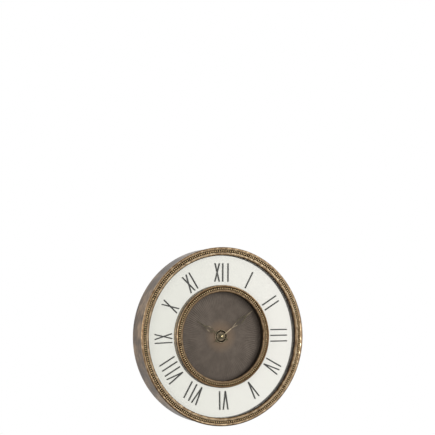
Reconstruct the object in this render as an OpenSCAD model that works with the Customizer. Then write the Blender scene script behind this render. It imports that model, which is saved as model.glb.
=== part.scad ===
// Round wall clock with a beaded bezel, a mirrored numeral ring and a fluted dial.
// Lengths are in millimetres. Each piece is drawn with x to the right, y up and
// z forward from the wall, then turned so that up is +Z and the dial faces -Y.
// The origin is the point on the wall behind the middle of the dial.

/* [Case] */
// Outer diameter across the bezel
clock_d = 600; // [580:5:640]
// Distance from the wall to the widest circle of the bezel
case_depth = 82; // [78:1:110]
// How far the steel band stands in from the widest circle
band_inset = 4.5; // [4:0.25:6]
// Thickness of the steel band
band_t = 1.2; // [0.8:0.1:1.6]
// Width of the band's flange that lies against the wall
flange_w = 18; // [14:1:24]
// Thickness of the rear panel
rear_panel_t = 5; // [4:0.5:8]
// Diameter of the window in the rear panel, for the battery and the setting knob
window_d = 124; // [100:2:150]

/* [Outer bezel] */
// Width of the outer bezel, from its edge to the mirror
outer_bezel_w = 28.5; // [27.5:0.5:32]
// Height of the widest circle above the face of the mirror
bezel_rise = 11; // [9:0.5:14]
// Radius of the roll along the outer edge
outer_roll_r = 4.5; // [4:0.25:5]
// Height of the inner wall above the mirror, up to its rounded band
outer_wall_h = 8; // [6:0.5:10]
// Radius of the rounded band beside the mirror
outer_round_r = 6; // [4:0.5:7]
// Width of the channel that holds the beading
channel_w = 8.7; // [7.5:0.1:9]

/* [Beading] */
// Radius of one bead
bead_r = 3.1; // [2.6:0.1:3.4]
// Distance from one bead to the next
bead_pitch = 6.9; // [6.9:0.1:9]
// Thickness of the strip below the beads
bead_strip_t = 0.8; // [0.5:0.1:1.2]

/* [Mirror and board] */
// Thickness of the mirror glass
mirror_t = 3; // [2:0.5:5]
// How far the glass reaches in under the outer bezel
mirror_lap = 9.5; // [7:0.5:10]
// Thickness of the mounting tape
tape_t = 2; // [1:0.5:3]
// Thickness of the board that carries the dial
board_t = 14; // [10:0.5:16]
// Depth of the recess that seats the dial
dial_recess = 6; // [3:0.5:7]

/* [Inner bezel] */
// Width of the mirror that shows between the two bezels
mirror_w = 99; // [90:0.5:104]
// Width of the inner bezel, from its widest circle to the opening
inner_bezel_w = 23; // [22:0.5:26]
// Height of its widest circle above the mirror
inner_rise = 8.5; // [7:0.5:11]
// Radius of its outer roll
inner_roll_r = 4; // [3:0.25:4.5]
// Width of its bead channel
inner_channel_w = 7; // [6.6:0.1:8]

/* [Numerals] */
// Room inside the feet of the numerals, as a share of the mirror's width
numeral_foot_share = 0.11; // [0.08:0.01:0.2]
// Height of the numerals, as a share of the mirror's width
numeral_h_share = 0.63; // [0.5:0.01:0.75]
// Width of a stroke
stroke_w = 4; // [3:0.1:6]
// Thickness of the numerals
numeral_t = 0.4; // [0.2:0.1:1]

/* [Dial] */
// Thickness of the dial at its flat rim and centre
dial_t = 1.2; // [0.8:0.1:1.6]
// Height of a flute's ridge above its groove at the rim, less towards the centre
flute_h = 0.6; // [0.4:0.1:1.5]
// Number of flutes
flute_count = 120; // [60:2:144]
// Radius of the copper rosette at the centre
boss_r = 23; // [18:0.5:30]
// Height of the rosette's rim
boss_h = 3.2; // [2.4:0.1:3.4]

/* [Hands] */
// Gap between the tip of the minute hand and the inner bezel
minute_gap = 6.5; // [3:0.5:24]
// Length of its tail
minute_tail = 32; // [26:1:40]
// Half of the width of its leaf
minute_leaf_w = 8.5; // [6:0.25:10]
// Length of the hour hand, as a share of the minute hand's
hour_len_share = 0.74; // [0.64:0.01:0.8]
// Length of its tail
hour_tail = 27; // [22:1:34]
// Half of the width of its leaf
hour_leaf_w = 8; // [6:0.25:10]
// Thickness of the hands
hand_t = 0.8; // [0.6:0.1:1]
// Angle of the minute hand, clockwise from twelve
minute_angle = 54; // [0:1:359]
// Angle of the hour hand, clockwise from twelve
hour_angle = 300; // [0:1:359]

/* [Movement] */
// Width and height of the movement
movement_w = 56; // [56:1:60]
// Depth of the movement
movement_depth = 16; // [16:0.25:18]
// Thickness of the movement's walls
shell_t = 1.2; // [1:0.1:1.4]
// Diameter of the battery
battery_d = 14.5; // [14:0.1:14.5]
// Length of the battery with its nub
battery_len = 50.5; // [49.5:0.1:50.7]
// Radius of the threaded bush
bush_r = 3.9; // [3.7:0.05:4.4]

/* [Hanger] */
// Distance from the inner edge of the flange to the middle of the hanger plate
hanger_inset = 52.5; // [46:0.5:70]
// Radius of the keyhole's entry
keyhole_r = 5.5; // [4.5:0.25:6]
// Width of the keyhole's slot
slot_w = 5.2; // [4.2:0.1:6]
// Height of the slot above the centre of the entry
slot_len = 12; // [9:0.5:15]
// Thickness of the hanger plate, which lies flush with the flange
hanger_t = 1.2; // [0.8:0.1:1.6]

/* [Hidden] */

$fn = 64;
ring_fn = 180;
bead_fn = 28;
arc_steps = 24;

// Overrun of a cut past the faces that it goes through
cut = 0.5;
// Gap between large pieces that slide together at assembly
fit_gap = 0.3;
// Gap on each side of the band in the bezel's groove
groove_gap = 0.15;
// Radial clearance of a turning shaft
run_gap = 0.05;
// Gap between a loose piece and its seat
seat_gap = 0.2;

// Screws: wood screws of one size for the case, and small ones for the movement
screw_r = 1.9;
screw_hole_r = 2.1;
screw_head_r = 4;
screw_head_t = 2.4;
screw_bite = 8;
flat_head_r = 3.6;

// Radii of the case
clock_r = clock_d / 2;
band_r = clock_r - band_inset;
band_in_r = band_r - band_t;
panel_r = band_in_r - fit_gap;
flange_in_r = band_r - flange_w;
flange_screw_r = (band_r + flange_in_r) / 2;
band_screw_count = 8;
band_screw_len = rear_panel_t;

// Levels from the wall to the face of the mirror
panel_front_z = band_t + rear_panel_t;
bezel_z = case_depth;
mirror_face_z = bezel_z - bezel_rise;
mirror_back_z = mirror_face_z - mirror_t;
board_front_z = mirror_back_z - tape_t;
board_back_z = board_front_z - board_t;
dial_seat_z = board_front_z - dial_recess;
dial_face_z = dial_seat_z + dial_t;

// Outer bezel
bezel_in_r = clock_r - outer_bezel_w;
roll_mid_r = clock_r - outer_roll_r;
outer_bead_r = roll_mid_r - outer_roll_r - channel_w / 2;
channel_in_r = outer_bead_r - channel_w / 2;
wall_top_z = mirror_face_z + outer_wall_h;
round_top_z = wall_top_z + outer_round_r;
bead_floor_z = bezel_z;
skirt_t = 1.4;
skirt_r = band_r + groove_gap + skirt_t;
skirt_drop = 6.5;
skirt_z = bezel_z - skirt_drop;
groove_deep = 1.7;
groove_top_z = bezel_z - outer_roll_r + groove_deep;
roll_under_angle = 60;
mirror_out_r = bezel_in_r + mirror_lap;
foot_gap = 2.5;
bead_strip_edge = 0.25;
foot_in_r = mirror_out_r + foot_gap;
foot_inset = 2.5;
foot_out_r = panel_r - foot_inset;
bezel_screw_r = (foot_in_r + foot_out_r) / 2;
bezel_screw_count = 8;

// Inner bezel
inner_bezel_r = bezel_in_r - mirror_w;
inner_roll_mid_r = inner_bezel_r - inner_roll_r;
inner_roll_z = mirror_face_z + inner_rise;
inner_bead_r = inner_roll_mid_r - inner_roll_r - inner_channel_w / 2;
inner_channel_r = inner_bead_r - inner_channel_w / 2;
inner_floor_rise = 1;
inner_floor_z = inner_roll_z + inner_floor_rise;
well_r = inner_bezel_r - inner_bezel_w;
lip_rise = 3;
lip_round_r = 3;
lip_z = inner_roll_z + lip_rise;
waist_in = 3;
waist_r = inner_bezel_r - waist_in;
waist_z = inner_roll_z - inner_roll_r;
inner_foot_r = inner_channel_r;
inner_screw_r = (well_r + inner_foot_r) / 2;
inner_screw_count = 6;

// Dial, mirror, tape
dial_r = inner_foot_r;
recess_r = dial_r + fit_gap;
mirror_in_r = inner_foot_r + foot_gap;
tape_w = 13;
tape_inset = 5;
flute_margin = 2;
flute_in_r = boss_r + flute_margin;
flute_out_r = well_r - flute_margin;
flute_low_share = 0.25;

// Spacer posts
post_count = 6;
post_r = 8;
post_margin = 8;
post_ring_r = flange_in_r - post_r - post_margin;
post_screw_len = 20;
post_start = 30;

// Hanger
hanger_w = 70;
hanger_h = 44;
hanger_mid_y = flange_in_r - hanger_inset;
hanger_drop = 3;
hanger_y = hanger_mid_y - hanger_drop;
hanger_hole_in = 7;
hanger_screw_dx = hanger_w / 2 - hanger_hole_in;
hanger_screw_dy = hanger_h / 2 - hanger_hole_in;
pocket_w = 36;
pocket_h = 27;
small_screw_r = 1.5;
small_head_r = 2.9;
small_screw_len = 3.5;

// Movement, measured from its front face
gasket_t = 1;
gasket_w = 24;
movement_z = board_back_z - gasket_t;
movement_half = movement_w / 2;
inner_half = movement_half - shell_t;
front_plate_t = 1.6;
rear_wall_t = 1.5;
pivot_sink = 0.9;
front_sink = 0.7;
corner_r = 3;
bay_gap = 0.3;
bay_h = battery_d + 2 * bay_gap;
bay_top_y = -inner_half + bay_h;
divider_y = bay_top_y + shell_t;
shell_rear_z = movement_z - movement_depth;
cavity_rear_z = shell_rear_z + rear_wall_t;
cavity_front_z = movement_z - front_plate_t;

// Levels of the wheels, as depths behind the front face of the movement
hour_wheel_depth = 3.4;
hour_wheel_t = 1.2;
motion_depth = 5.6;
motion_t = 1.6;
minute_wheel_depth = 5.4;
minute_wheel_t = 1.2;
minute_pinion_depth = 3.8;
minute_pinion_t = 1.8;
bridge_depth = 6.4;
bridge_t = 0.6;
centre_wheel_depth = 7.6;
centre_wheel_t = 1;
third_pinion_depth = 8;
third_pinion_t = 1.4;
third_wheel_depth = 9.6;
third_wheel_t = 1;
fourth_pinion_depth = 10;
fourth_pinion_t = 1.8;
fourth_wheel_depth = 11.4;
fourth_wheel_t = 0.8;
relay_pinion_depth = 11.7;
relay_pinion_t = 1.4;
relay_wheel_depth = 8;
relay_wheel_t = 0.8;
rotor_pinion_depth = 8.3;
rotor_pinion_t = 1.4;
magnet_depth = 13;
magnet_t = 4;
magnet_r = 3.2;

// Teeth
pressure_angle = 20;
slack_share = 0.08;
wheel_tip_share = 0.45;
wheel_root_share = 1.15;
pinion_tip_share = 0.9;
pinion_root_share = 0.7;
cannon_teeth = 12;
minute_wheel_teeth = 36;
minute_pinion_teeth = 10;
hour_wheel_teeth = 40;
knob_teeth = 12;
centre_teeth = 64;
third_pinion_teeth = 8;
third_teeth = 60;
fourth_pinion_teeth = 8;
fourth_teeth = 50;
relay_pinion_teeth = 10;
relay_teeth = 60;
rotor_teeth = 10;
motion_unit = 0.35;
centre_unit = 0.3;
third_unit = 0.25;
fourth_unit = 0.25;
relay_unit = 0.2;
motion_span = motion_unit * (cannon_teeth + minute_wheel_teeth) / 2;
hour_unit = 2 * motion_span / (minute_pinion_teeth + hour_wheel_teeth);
third_span = centre_unit * (centre_teeth + third_pinion_teeth) / 2;
fourth_span = third_unit * (third_teeth + fourth_pinion_teeth) / 2;
relay_span = fourth_unit * (fourth_teeth + relay_pinion_teeth) / 2;
rotor_span = relay_unit * (relay_teeth + rotor_teeth) / 2;

// Directions from each axis to the next, and the axes that follow from them
minute_wheel_dir = 0;
hour_wheel_dir = 180;
knob_dir = -40;
third_dir = 125;
fourth_dir = 60;
relay_dir = 0;
rotor_dir = -20;
minute_wheel_at = step_to([0, 0], minute_wheel_dir, motion_span);
knob_at = step_to(minute_wheel_at, knob_dir, motion_unit * (minute_wheel_teeth + knob_teeth) / 2);
third_at = step_to([0, 0], third_dir, third_span);
fourth_at = step_to(third_at, fourth_dir, fourth_span);
relay_at = step_to(fourth_at, relay_dir, relay_span);
rotor_at = step_to(relay_at, rotor_dir, rotor_span);

// Turns of the wheels that bring tooth to gap
minute_wheel_turn = mesh_turn(minute_wheel_dir, 0, cannon_teeth, minute_wheel_teeth);
hour_wheel_turn = mesh_turn(hour_wheel_dir, 0, minute_pinion_teeth, hour_wheel_teeth);
knob_turn = mesh_turn(knob_dir, minute_wheel_turn, minute_wheel_teeth, knob_teeth);
third_turn = mesh_turn(third_dir, 0, centre_teeth, third_pinion_teeth);
fourth_turn = mesh_turn(fourth_dir, 0, third_teeth, fourth_pinion_teeth);
relay_turn = mesh_turn(relay_dir, 0, fourth_teeth, relay_pinion_teeth);
rotor_turn = mesh_turn(rotor_dir, 0, relay_teeth, rotor_teeth);

// Shafts of the movement
pivot_r = 0.4;
arbor_r = 0.5;
centre_pivot_r = 0.6;
centre_shaft_r = 0.9;
centre_hub_r = 2;
minute_shaft_r = 1.7;
pipe_gap = 0.08;
pipe_t = 0.77;
pipe_r = minute_shaft_r + pipe_gap + pipe_t;
bush_bore_r = pipe_r + run_gap;
thread_r = 1.25;
knob_shaft_r = 1.2;
knob_r = 5;
knob_t = 2.6;
knob_gap = 0.4;
knob_ribs = 16;
knob_rib_r = 0.5;

// Supports inside the movement
bridge_post_shares = [[-0.672, 0.896], [-0.541, -0.28], [0.336, -0.3], [0.392, 0.918]];
bridge_posts = inner_half * bridge_post_shares;
bridge_post_r = 1.5;
bridge_edge = 2;
bridge_gap = 0.3;
bridge_left = bridge_posts[0][0] - bridge_edge;
bridge_right = knob_at[0] + bridge_edge;
bridge_top = inner_half - bridge_gap;
bridge_screw_r = 0.6;
bridge_head_r = 1.1;
bridge_head_t = 0.6;
bridge_screw_len = 3;

// Coil and stator
bobbin_r = 1.9;
bobbin_flange_r = 4;
bobbin_flange_t = 0.8;
bobbin_end = 2.3;
coil_span = 21.1;
coil_end_room = 2.5;
coil_x = inner_half - bay_gap - bobbin_flange_r;
coil_high_y = inner_half - coil_end_room;
coil_low_y = coil_high_y - coil_span;
stator_depth = 11.5;
stator_t = 1;
stator_ring_t = 1.2;
stator_gap = 0.5;
stator_arm_w = 3;
stator_elbow = 7;
stator_elbow_x = coil_x - stator_elbow;
core_w = 2.4;
core_t = 1;
core_end = 1.6;
stake_r = 0.7;
stake_proud = 0.4;
coil_post_r = 1.6;
winding_r = 3;

// Circuit board, with its chip and crystal placed from its lower left corner
pcb_w = 10.1;
pcb_h = 23.9;
pcb_t = 1;
pcb_left = -inner_half + bay_gap;
pcb_right = pcb_left + pcb_w;
pcb_low = divider_y + 2 * bay_gap;
pcb_high = pcb_low + pcb_h;
chip_r = 2.6;
chip_t = 0.8;
chip_at_shares = [0.6, 0.77];
chip_at = [pcb_left + pcb_w * chip_at_shares[0], pcb_low + pcb_h * chip_at_shares[1]];
crystal_r = 1;
crystal_len = 6;
crystal_at_shares = [0.27, 0.33];
crystal_at = [pcb_left + pcb_w * crystal_at_shares[0], pcb_low + pcb_h * crystal_at_shares[1]];

// Battery and contacts
nub_r = 2.7;
nub_len = 1;
contact_t = 0.4;
contact_w = 9;
contact_slot = 2;
contact_foot = 3;
contact_arm_depth = 12.5;
contact_arm_h = 1.6;
battery_z = cavity_front_z - bay_gap - battery_d / 2;
battery_y = -inner_half + bay_h / 2;

// Stack in front of the dial
boss_floor_t = 1;
boss_rim_in = 3;
washer_t = 0.5;
washer_r = 6.5;
nut_t = 2.4;
nut_r = 5.8;
bush_reach = 0.9;
hand_lift = 1.4;
hand_gap = 1.4;
collet_t = 1;
washer_z = dial_face_z + boss_floor_t;
nut_z = washer_z + washer_t;
bush_top_z = nut_z + nut_t + bush_reach;
hour_hand_z = bush_top_z + hand_lift;
minute_hand_z = hour_hand_z + hand_t + hand_gap;
cap_z = minute_hand_z + hand_t;
cap_r = 4;
cap_h = 3.4;
cap_base_t = 0.8;
thread_reach = 1.8;

// Outlines of the hands
minute_len = well_r - minute_gap;
hour_len = minute_len * hour_len_share;
hour_hub_r = 8.5;
minute_hub_r = 7.5;
stem_w = 1.5;
strand_w = 2;
tip_w = 0.5;
tail_end_w = 3;
tail_end_len = 12;
minute_leaf_share = 0.28;
minute_leaf_top_share = 0.8;
minute_peak_share = 0.64;
hour_leaf_share = 0.26;
hour_leaf_top_share = 0.71;
hour_peak_share = 0.51;
leaf_lap = 3;

// Numerals, from one o'clock round to twelve
hours = ["I", "II", "III", "IV", "V", "VI", "VII", "VIII", "IX", "X", "XI", "XII"];
// Small turns of the numerals, which were set by hand, clockwise from their true places
numeral_turns = [-0.8, -0.4, 0.6, -1, -1.4, 0.2, 0.8, 1, -1.2, -1, -1.4, 1.4];
numeral_in_r = inner_bezel_r + mirror_w * numeral_foot_share;
numeral_out_r = numeral_in_r + mirror_w * numeral_h_share;
i_advance_share = 0.107;
v_advance_share = 0.128;
x_advance_share = 0.121;
v_spread_share = 0.0475;
x_spread_share = 0.0453;

// Point reached from a point in a direction
function step_to(from, dir, span) = from + span * [cos(dir), sin(dir)];

// Turn of the second gear that puts its gap against a tooth of the first
function mesh_turn(dir, turn, teeth, next_teeth) =
    dir + 180 + (dir - turn) * teeth / next_teeth + 180 / next_teeth;

// Points of an arc about a centre
function arc(mid, r, from, to) =
    [for (i = [0 : arc_steps]) mid + r * [cos(from + (to - from) * i / arc_steps),
        sin(from + (to - from) * i / arc_steps)]];

function polar(r, a) = [r * cos(a), r * sin(a)];

// Involute of a pressure angle, in degrees
function involute(a) = tan(a) * 180 / PI - a;

// Half of the angle that a tooth takes at a radius
function tooth_half(r, teeth, unit) =
    let (base = teeth * unit / 2 * cos(pressure_angle))
    90 / teeth * (1 - slack_share) + involute(pressure_angle)
        - involute(acos(base / max(r, base)));

// Outline of a gear with a tooth centred on angle zero
function gear_points(teeth, unit, tip_share, root_share) =
    let (pitch_r = teeth * unit / 2)
    let (tip = pitch_r + tip_share * unit)
    let (root = pitch_r - root_share * unit)
    let (base = max(root, pitch_r * cos(pressure_angle)))
    let (radii = [root, base, (base + pitch_r) / 2, pitch_r, (pitch_r + tip) / 2, tip])
    [for (k = [0 : teeth - 1]) each concat(
        [for (r = radii) polar(r, k * 360 / teeth - tooth_half(r, teeth, unit))],
        [for (i = [len(radii) - 1 : -1 : 0])
            polar(radii[i], k * 360 / teeth + tooth_half(radii[i], teeth, unit))])];

// One side of a leaf, widest at a share of its length
function leaf_side(from, to, w, peak_share, side) =
    [for (i = [0 : arc_steps]) let (t = side > 0 ? i / arc_steps : 1 - i / arc_steps)
        [side * w * sin(180 * pow(t, ln(0.5) / ln(peak_share))), from + (to - from) * t]];

// Width that a numeral's letter takes along the ring
function advance(letter) = numeral_in_r *
    (letter == "I" ? i_advance_share : letter == "V" ? v_advance_share : x_advance_share);

// Sum of the widths of the letters before one of them
function width_before(word, count) = count == 0 ? 0 :
    advance(word[count - 1]) + width_before(word, count - 1);

// Turns a piece from the drawing frame into the frame of the clock
module from_wall() {
    rotate([90, 0, 0]) children();
}

// Solid of revolution about the dial axis, from points of radius and height
module turned(points) {
    rotate_extrude($fn = ring_fn) polygon(points);
}

// Flat ring between two radii and two levels
module ring(in_r, out_r, low, high) {
    difference() {
        translate([0, 0, low]) cylinder(h = high - low, r = out_r, $fn = ring_fn);
        translate([0, 0, low - cut])
            cylinder(h = high - low + 2 * cut, r = in_r, $fn = ring_fn);
    }
}

// Round bar between two levels at a place
module bar(at, r, low, high) {
    translate([at[0], at[1], low]) cylinder(h = high - low, r = r);
}

// Box between two corners
module block(from, to) {
    translate(from) cube(to - from);
}

// Copies at equal angles on a circle
module around(count, r, start = 0) {
    for (i = [0 : count - 1]) rotate(start + i * 360 / count) translate([r, 0, 0]) children();
}

// Gear at a place and level
module gear(at, low, thick, teeth, unit, tip_share, root_share, turn) {
    translate([at[0], at[1], low]) rotate(turn)
        linear_extrude(thick) polygon(gear_points(teeth, unit, tip_share, root_share));
}

module wheel(at, depth, thick, teeth, unit, turn) {
    gear(at, movement_z - depth, thick, teeth, unit, wheel_tip_share, wheel_root_share, turn);
}

module pinion(at, depth, thick, teeth, unit, turn) {
    gear(at, movement_z - depth, thick, teeth, unit, pinion_tip_share, pinion_root_share, turn);
}

// Arbor with a pivot in the rear wall and one in the middle plate
module arbor(at) {
    bar(at, arbor_r, cavity_rear_z + seat_gap, movement_z - bridge_depth - seat_gap);
    bar(at, pivot_r, cavity_rear_z - pivot_sink + seat_gap, movement_z - bridge_depth + bridge_t);
}

// Countersunk screw with its head flush at a level, pointing forward
module flat_screw(level, head_r, body_r, head_len, length) {
    translate([0, 0, level]) cylinder(h = head_len, r1 = head_r, r2 = body_r);
    translate([0, 0, level]) cylinder(h = length, r = body_r);
}

module flat_screw_hole(level, head_r, body_r, head_len, length) {
    translate([0, 0, level]) cylinder(h = head_len, r1 = head_r, r2 = body_r);
    translate([0, 0, level - cut]) cylinder(h = length + cut, r = body_r);
}

// Pan head screw whose head bears on a surface at a level, pointing forward
module pan_screw(level, length) {
    translate([0, 0, level - screw_head_t]) cylinder(h = screw_head_t, r = screw_head_r);
    translate([0, 0, level - screw_head_t]) cylinder(h = screw_head_t + length, r = screw_r);
}

// Case

module case_band() {
    color("#75695e") from_wall() difference() {
        turned([[flange_in_r, 0], [band_r, 0], [band_r, groove_top_z - groove_gap],
            [band_in_r, groove_top_z - groove_gap], [band_in_r, band_t], [flange_in_r, band_t]]);
        around(band_screw_count, flange_screw_r)
            flat_screw_hole(0, small_head_r, small_screw_r, band_t, band_t + cut);
    }
}

module rear_panel() {
    color("#6e5a45") from_wall() difference() {
        ring(window_d / 2, panel_r, band_t, panel_front_z);
        around(band_screw_count, flange_screw_r)
            bar([0, 0], small_screw_r, band_t - cut, band_t + band_screw_len - cut);
        around(post_count, post_ring_r, post_start)
            flat_screw_hole(band_t, flat_head_r, screw_hole_r, screw_head_t, rear_panel_t + cut);
        translate([0, hanger_mid_y, band_t + rear_panel_t / 2])
            cube([pocket_w, pocket_h, rear_panel_t + 2 * cut], center = true);
        hanger_holes() bar([0, 0], small_screw_r, band_t - cut, hanger_t + small_screw_len);
    }
}

module band_screws() {
    color("#b9b6ad") from_wall() around(band_screw_count, flange_screw_r)
        flat_screw(0, small_head_r, small_screw_r, band_t, band_t + band_screw_len - cut);
}

module spacer_posts() {
    color("#c9a87c") from_wall() around(post_count, post_ring_r, post_start) difference() {
        bar([0, 0], post_r, panel_front_z, board_back_z);
        bar([0, 0], screw_r, panel_front_z - cut, band_t + post_screw_len);
    }
}

module post_screws() {
    color("#b9b6ad") from_wall() around(post_count, post_ring_r, post_start)
        flat_screw(band_t, flat_head_r, screw_r, screw_head_t, post_screw_len);
}

// Places of the four screws of the hanger plate
module hanger_holes() {
    for (side = [-1, 1]) for (row = [-1, 1])
        translate([side * hanger_screw_dx, hanger_mid_y + row * hanger_screw_dy, 0]) children();
}

module hanger_plate() {
    color("#a9a9a4") from_wall() difference() {
        translate([0, hanger_mid_y, band_t - hanger_t / 2])
            cube([hanger_w, hanger_h, hanger_t], center = true);
        bar([0, hanger_y], keyhole_r, -cut - hanger_t, band_t + cut);
        bar([0, hanger_y + slot_len], slot_w / 2, -cut - hanger_t, band_t + cut);
        block([-slot_w / 2, hanger_y, -cut - hanger_t], [slot_w / 2, hanger_y + slot_len, band_t + cut]);
        hanger_holes()
            flat_screw_hole(band_t - hanger_t, small_head_r, small_screw_r, hanger_t, hanger_t + cut);
    }
}

module hanger_screws() {
    color("#b9b6ad") from_wall() hanger_holes()
        flat_screw(band_t - hanger_t, small_head_r, small_screw_r, hanger_t, hanger_t + small_screw_len);
}

// Bezels and beading

module outer_bezel() {
    color("#8b775c") from_wall() difference() {
        turned(concat(
            [[bezel_in_r, mirror_face_z]],
            arc([bezel_in_r + outer_round_r, wall_top_z], outer_round_r, 180, 90),
            [[channel_in_r, round_top_z], [channel_in_r, bead_floor_z]],
            arc([roll_mid_r, bezel_z], outer_roll_r, 180, -roll_under_angle),
            [[skirt_r, skirt_z + skirt_t], [skirt_r, skirt_z],
            [band_r + groove_gap, skirt_z], [band_r + groove_gap, groove_top_z],
            [band_in_r - groove_gap, groove_top_z], [band_in_r - groove_gap, skirt_z],
            [foot_out_r, skirt_z], [foot_out_r, board_front_z],
            [foot_in_r, board_front_z], [foot_in_r, mirror_face_z]]));
        around(bezel_screw_count, bezel_screw_r)
            bar([0, 0], screw_r, board_front_z - cut, board_front_z + screw_bite);
    }
}

// Strip with a row of half-round beads that stands on a channel's floor
module beading(r, floor_z) {
    ring(r - bead_r - bead_strip_edge, r + bead_r + bead_strip_edge, floor_z,
        floor_z + bead_strip_t);
    around(floor(2 * PI * r / bead_pitch), r) translate([0, 0, floor_z + bead_strip_t])
        rotate_extrude($fn = bead_fn) union() {
            intersection() {
                circle(r = bead_r);
                square([bead_r, bead_r]);
            }
            translate([0, -bead_strip_t / 2]) square([bead_r, bead_strip_t / 2]);
        }
}

module outer_beading() {
    color("#a08463") from_wall() beading(outer_bead_r, bead_floor_z);
}

module bezel_screws() {
    color("#b9b6ad") from_wall() around(bezel_screw_count, bezel_screw_r)
        pan_screw(board_back_z, board_t + screw_bite - cut);
}

module inner_bezel() {
    color("#8b775c") from_wall() difference() {
        turned(concat(
            [[well_r, dial_face_z]],
            arc([well_r + lip_round_r, lip_z - lip_round_r], lip_round_r, 180, 90),
            [[inner_channel_r, lip_z], [inner_channel_r, inner_floor_z],
            [inner_roll_mid_r - inner_roll_r, inner_floor_z]],
            arc([inner_roll_mid_r, inner_roll_z], inner_roll_r, 180, -roll_under_angle),
            [[waist_r, waist_z], [waist_r, mirror_face_z], [inner_foot_r, mirror_face_z],
            [inner_foot_r, dial_face_z]]));
        around(inner_screw_count, inner_screw_r)
            bar([0, 0], screw_r, dial_face_z - cut, dial_face_z + screw_bite);
    }
}

module inner_beading() {
    color("#a08463") from_wall() beading(inner_bead_r, inner_floor_z);
}

module inner_bezel_screws() {
    color("#b9b6ad") from_wall() around(inner_screw_count, inner_screw_r)
        pan_screw(board_back_z, dial_face_z - board_back_z + screw_bite - cut);
}

// Board, mirror and numerals

module dial_board() {
    color("#7d6650") from_wall() difference() {
        turned([[bush_r + fit_gap, board_back_z], [panel_r, board_back_z],
            [panel_r, board_front_z], [recess_r, board_front_z],
            [recess_r, dial_seat_z], [bush_r + fit_gap, dial_seat_z]]);
        around(bezel_screw_count, bezel_screw_r)
            bar([0, 0], screw_hole_r, board_back_z - cut, board_front_z + cut);
        around(inner_screw_count, inner_screw_r)
            bar([0, 0], screw_hole_r, board_back_z - cut, board_front_z + cut);
    }
}

module mirror_tape() {
    color("#e8e4da") from_wall() {
        ring(mirror_in_r + tape_inset, mirror_in_r + tape_inset + tape_w, board_front_z, mirror_back_z);
        ring(mirror_out_r - tape_inset - tape_w, mirror_out_r - tape_inset, board_front_z,
            mirror_back_z);
    }
}

module mirror_ring() {
    color("#dfe0da") from_wall() ring(mirror_in_r, mirror_out_r, mirror_back_z, mirror_face_z);
}

// Stroke from the foot of a numeral to its top
module stroke(foot_x, top_x) {
    half = stroke_w / 2 / cos(atan((top_x - foot_x) / (numeral_out_r - numeral_in_r)));
    polygon([[foot_x - half, numeral_in_r], [foot_x + half, numeral_in_r],
        [top_x + half, numeral_out_r], [top_x - half, numeral_out_r]]);
}

module letter(name) {
    v_top = numeral_in_r * v_spread_share;
    x_top = numeral_in_r * x_spread_share;
    if (name == "I") stroke(0, 0);
    if (name == "V") for (side = [-1, 1]) stroke(0, side * v_top);
    if (name == "X") for (side = [-1, 1]) stroke(-side * x_top, side * x_top);
}

module numerals() {
    color("#3f3f3a") from_wall() translate([0, 0, mirror_face_z]) linear_extrude(numeral_t)
        for (i = [0 : len(hours) - 1]) rotate(-(i + 1) * 360 / len(hours) - numeral_turns[i])
            for (k = [0 : len(hours[i]) - 1])
                translate([width_before(hours[i], k) + advance(hours[i][k]) / 2
                    - width_before(hours[i], len(hours[i])) / 2, 0]) letter(hours[i][k]);
}

// Dial

// Corner of the fluted face: even corners are ridges and odd ones grooves
function flute_point(i, r) = [r * cos(i * 180 / flute_count), r * sin(i * 180 / flute_count),
    dial_face_z + (i % 2 == 0 ? 1 - flute_low_share : -flute_low_share) * flute_h * r / flute_out_r];

function flat_point(i, r, level) = [r * cos(i * 180 / flute_count),
    r * sin(i * 180 / flute_count), level];

// Rows of corners from the hole out over the face, and back along the rear
dial_rows = [
    [for (i = [0 : 2 * flute_count - 1]) flat_point(i, bush_r + fit_gap, dial_face_z)],
    [for (i = [0 : 2 * flute_count - 1]) flat_point(i, flute_in_r, dial_face_z)],
    [for (i = [0 : 2 * flute_count - 1]) flute_point(i, flute_in_r + flute_margin)],
    [for (i = [0 : 2 * flute_count - 1]) flute_point(i, flute_out_r - flute_margin)],
    [for (i = [0 : 2 * flute_count - 1]) flat_point(i, flute_out_r, dial_face_z)],
    [for (i = [0 : 2 * flute_count - 1]) flat_point(i, dial_r, dial_face_z)],
    [for (i = [0 : 2 * flute_count - 1]) flat_point(i, dial_r, dial_seat_z)],
    [for (i = [0 : 2 * flute_count - 1]) flat_point(i, bush_r + fit_gap, dial_seat_z)]];

module dial_plate() {
    n = 2 * flute_count;
    rows = len(dial_rows);
    color("#5f564d") from_wall() difference() {
        polyhedron(points = [for (row = dial_rows) each row],
            faces = [for (k = [0 : rows - 1]) for (i = [0 : n - 1]) each
                let (a = k * n, b = ((k + 1) % rows) * n, j = (i + 1) % n)
                [[a + i, a + j, b + i], [a + j, b + j, b + i]]]);
        around(inner_screw_count, inner_screw_r)
            bar([0, 0], screw_hole_r, dial_seat_z - cut, dial_face_z + cut);
    }
}

module dial_boss() {
    rim_r = boss_rim_in / 2;
    color("#9a6a45") from_wall()
        turned(concat(
            [[bush_r + fit_gap, dial_face_z], [boss_r, dial_face_z]],
            arc([boss_r - rim_r, dial_face_z + boss_h - rim_r], rim_r, 0, 180),
            [[boss_r - 2 * boss_rim_in, dial_face_z + boss_floor_t + boss_floor_t / 2],
            [boss_r - 3 * boss_rim_in, dial_face_z + boss_floor_t],
            [bush_r + fit_gap, dial_face_z + boss_floor_t]]));
}

module movement_gasket() {
    color("#2b2a28") from_wall() difference() {
        bar([0, 0], gasket_w / 2, movement_z, board_back_z);
        bar([0, 0], bush_r + fit_gap, movement_z - cut, board_back_z + cut);
    }
}

module mounting_washer() {
    color("#c2a15a") from_wall() ring(bush_r + groove_gap, washer_r, washer_z, nut_z);
}

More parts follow.
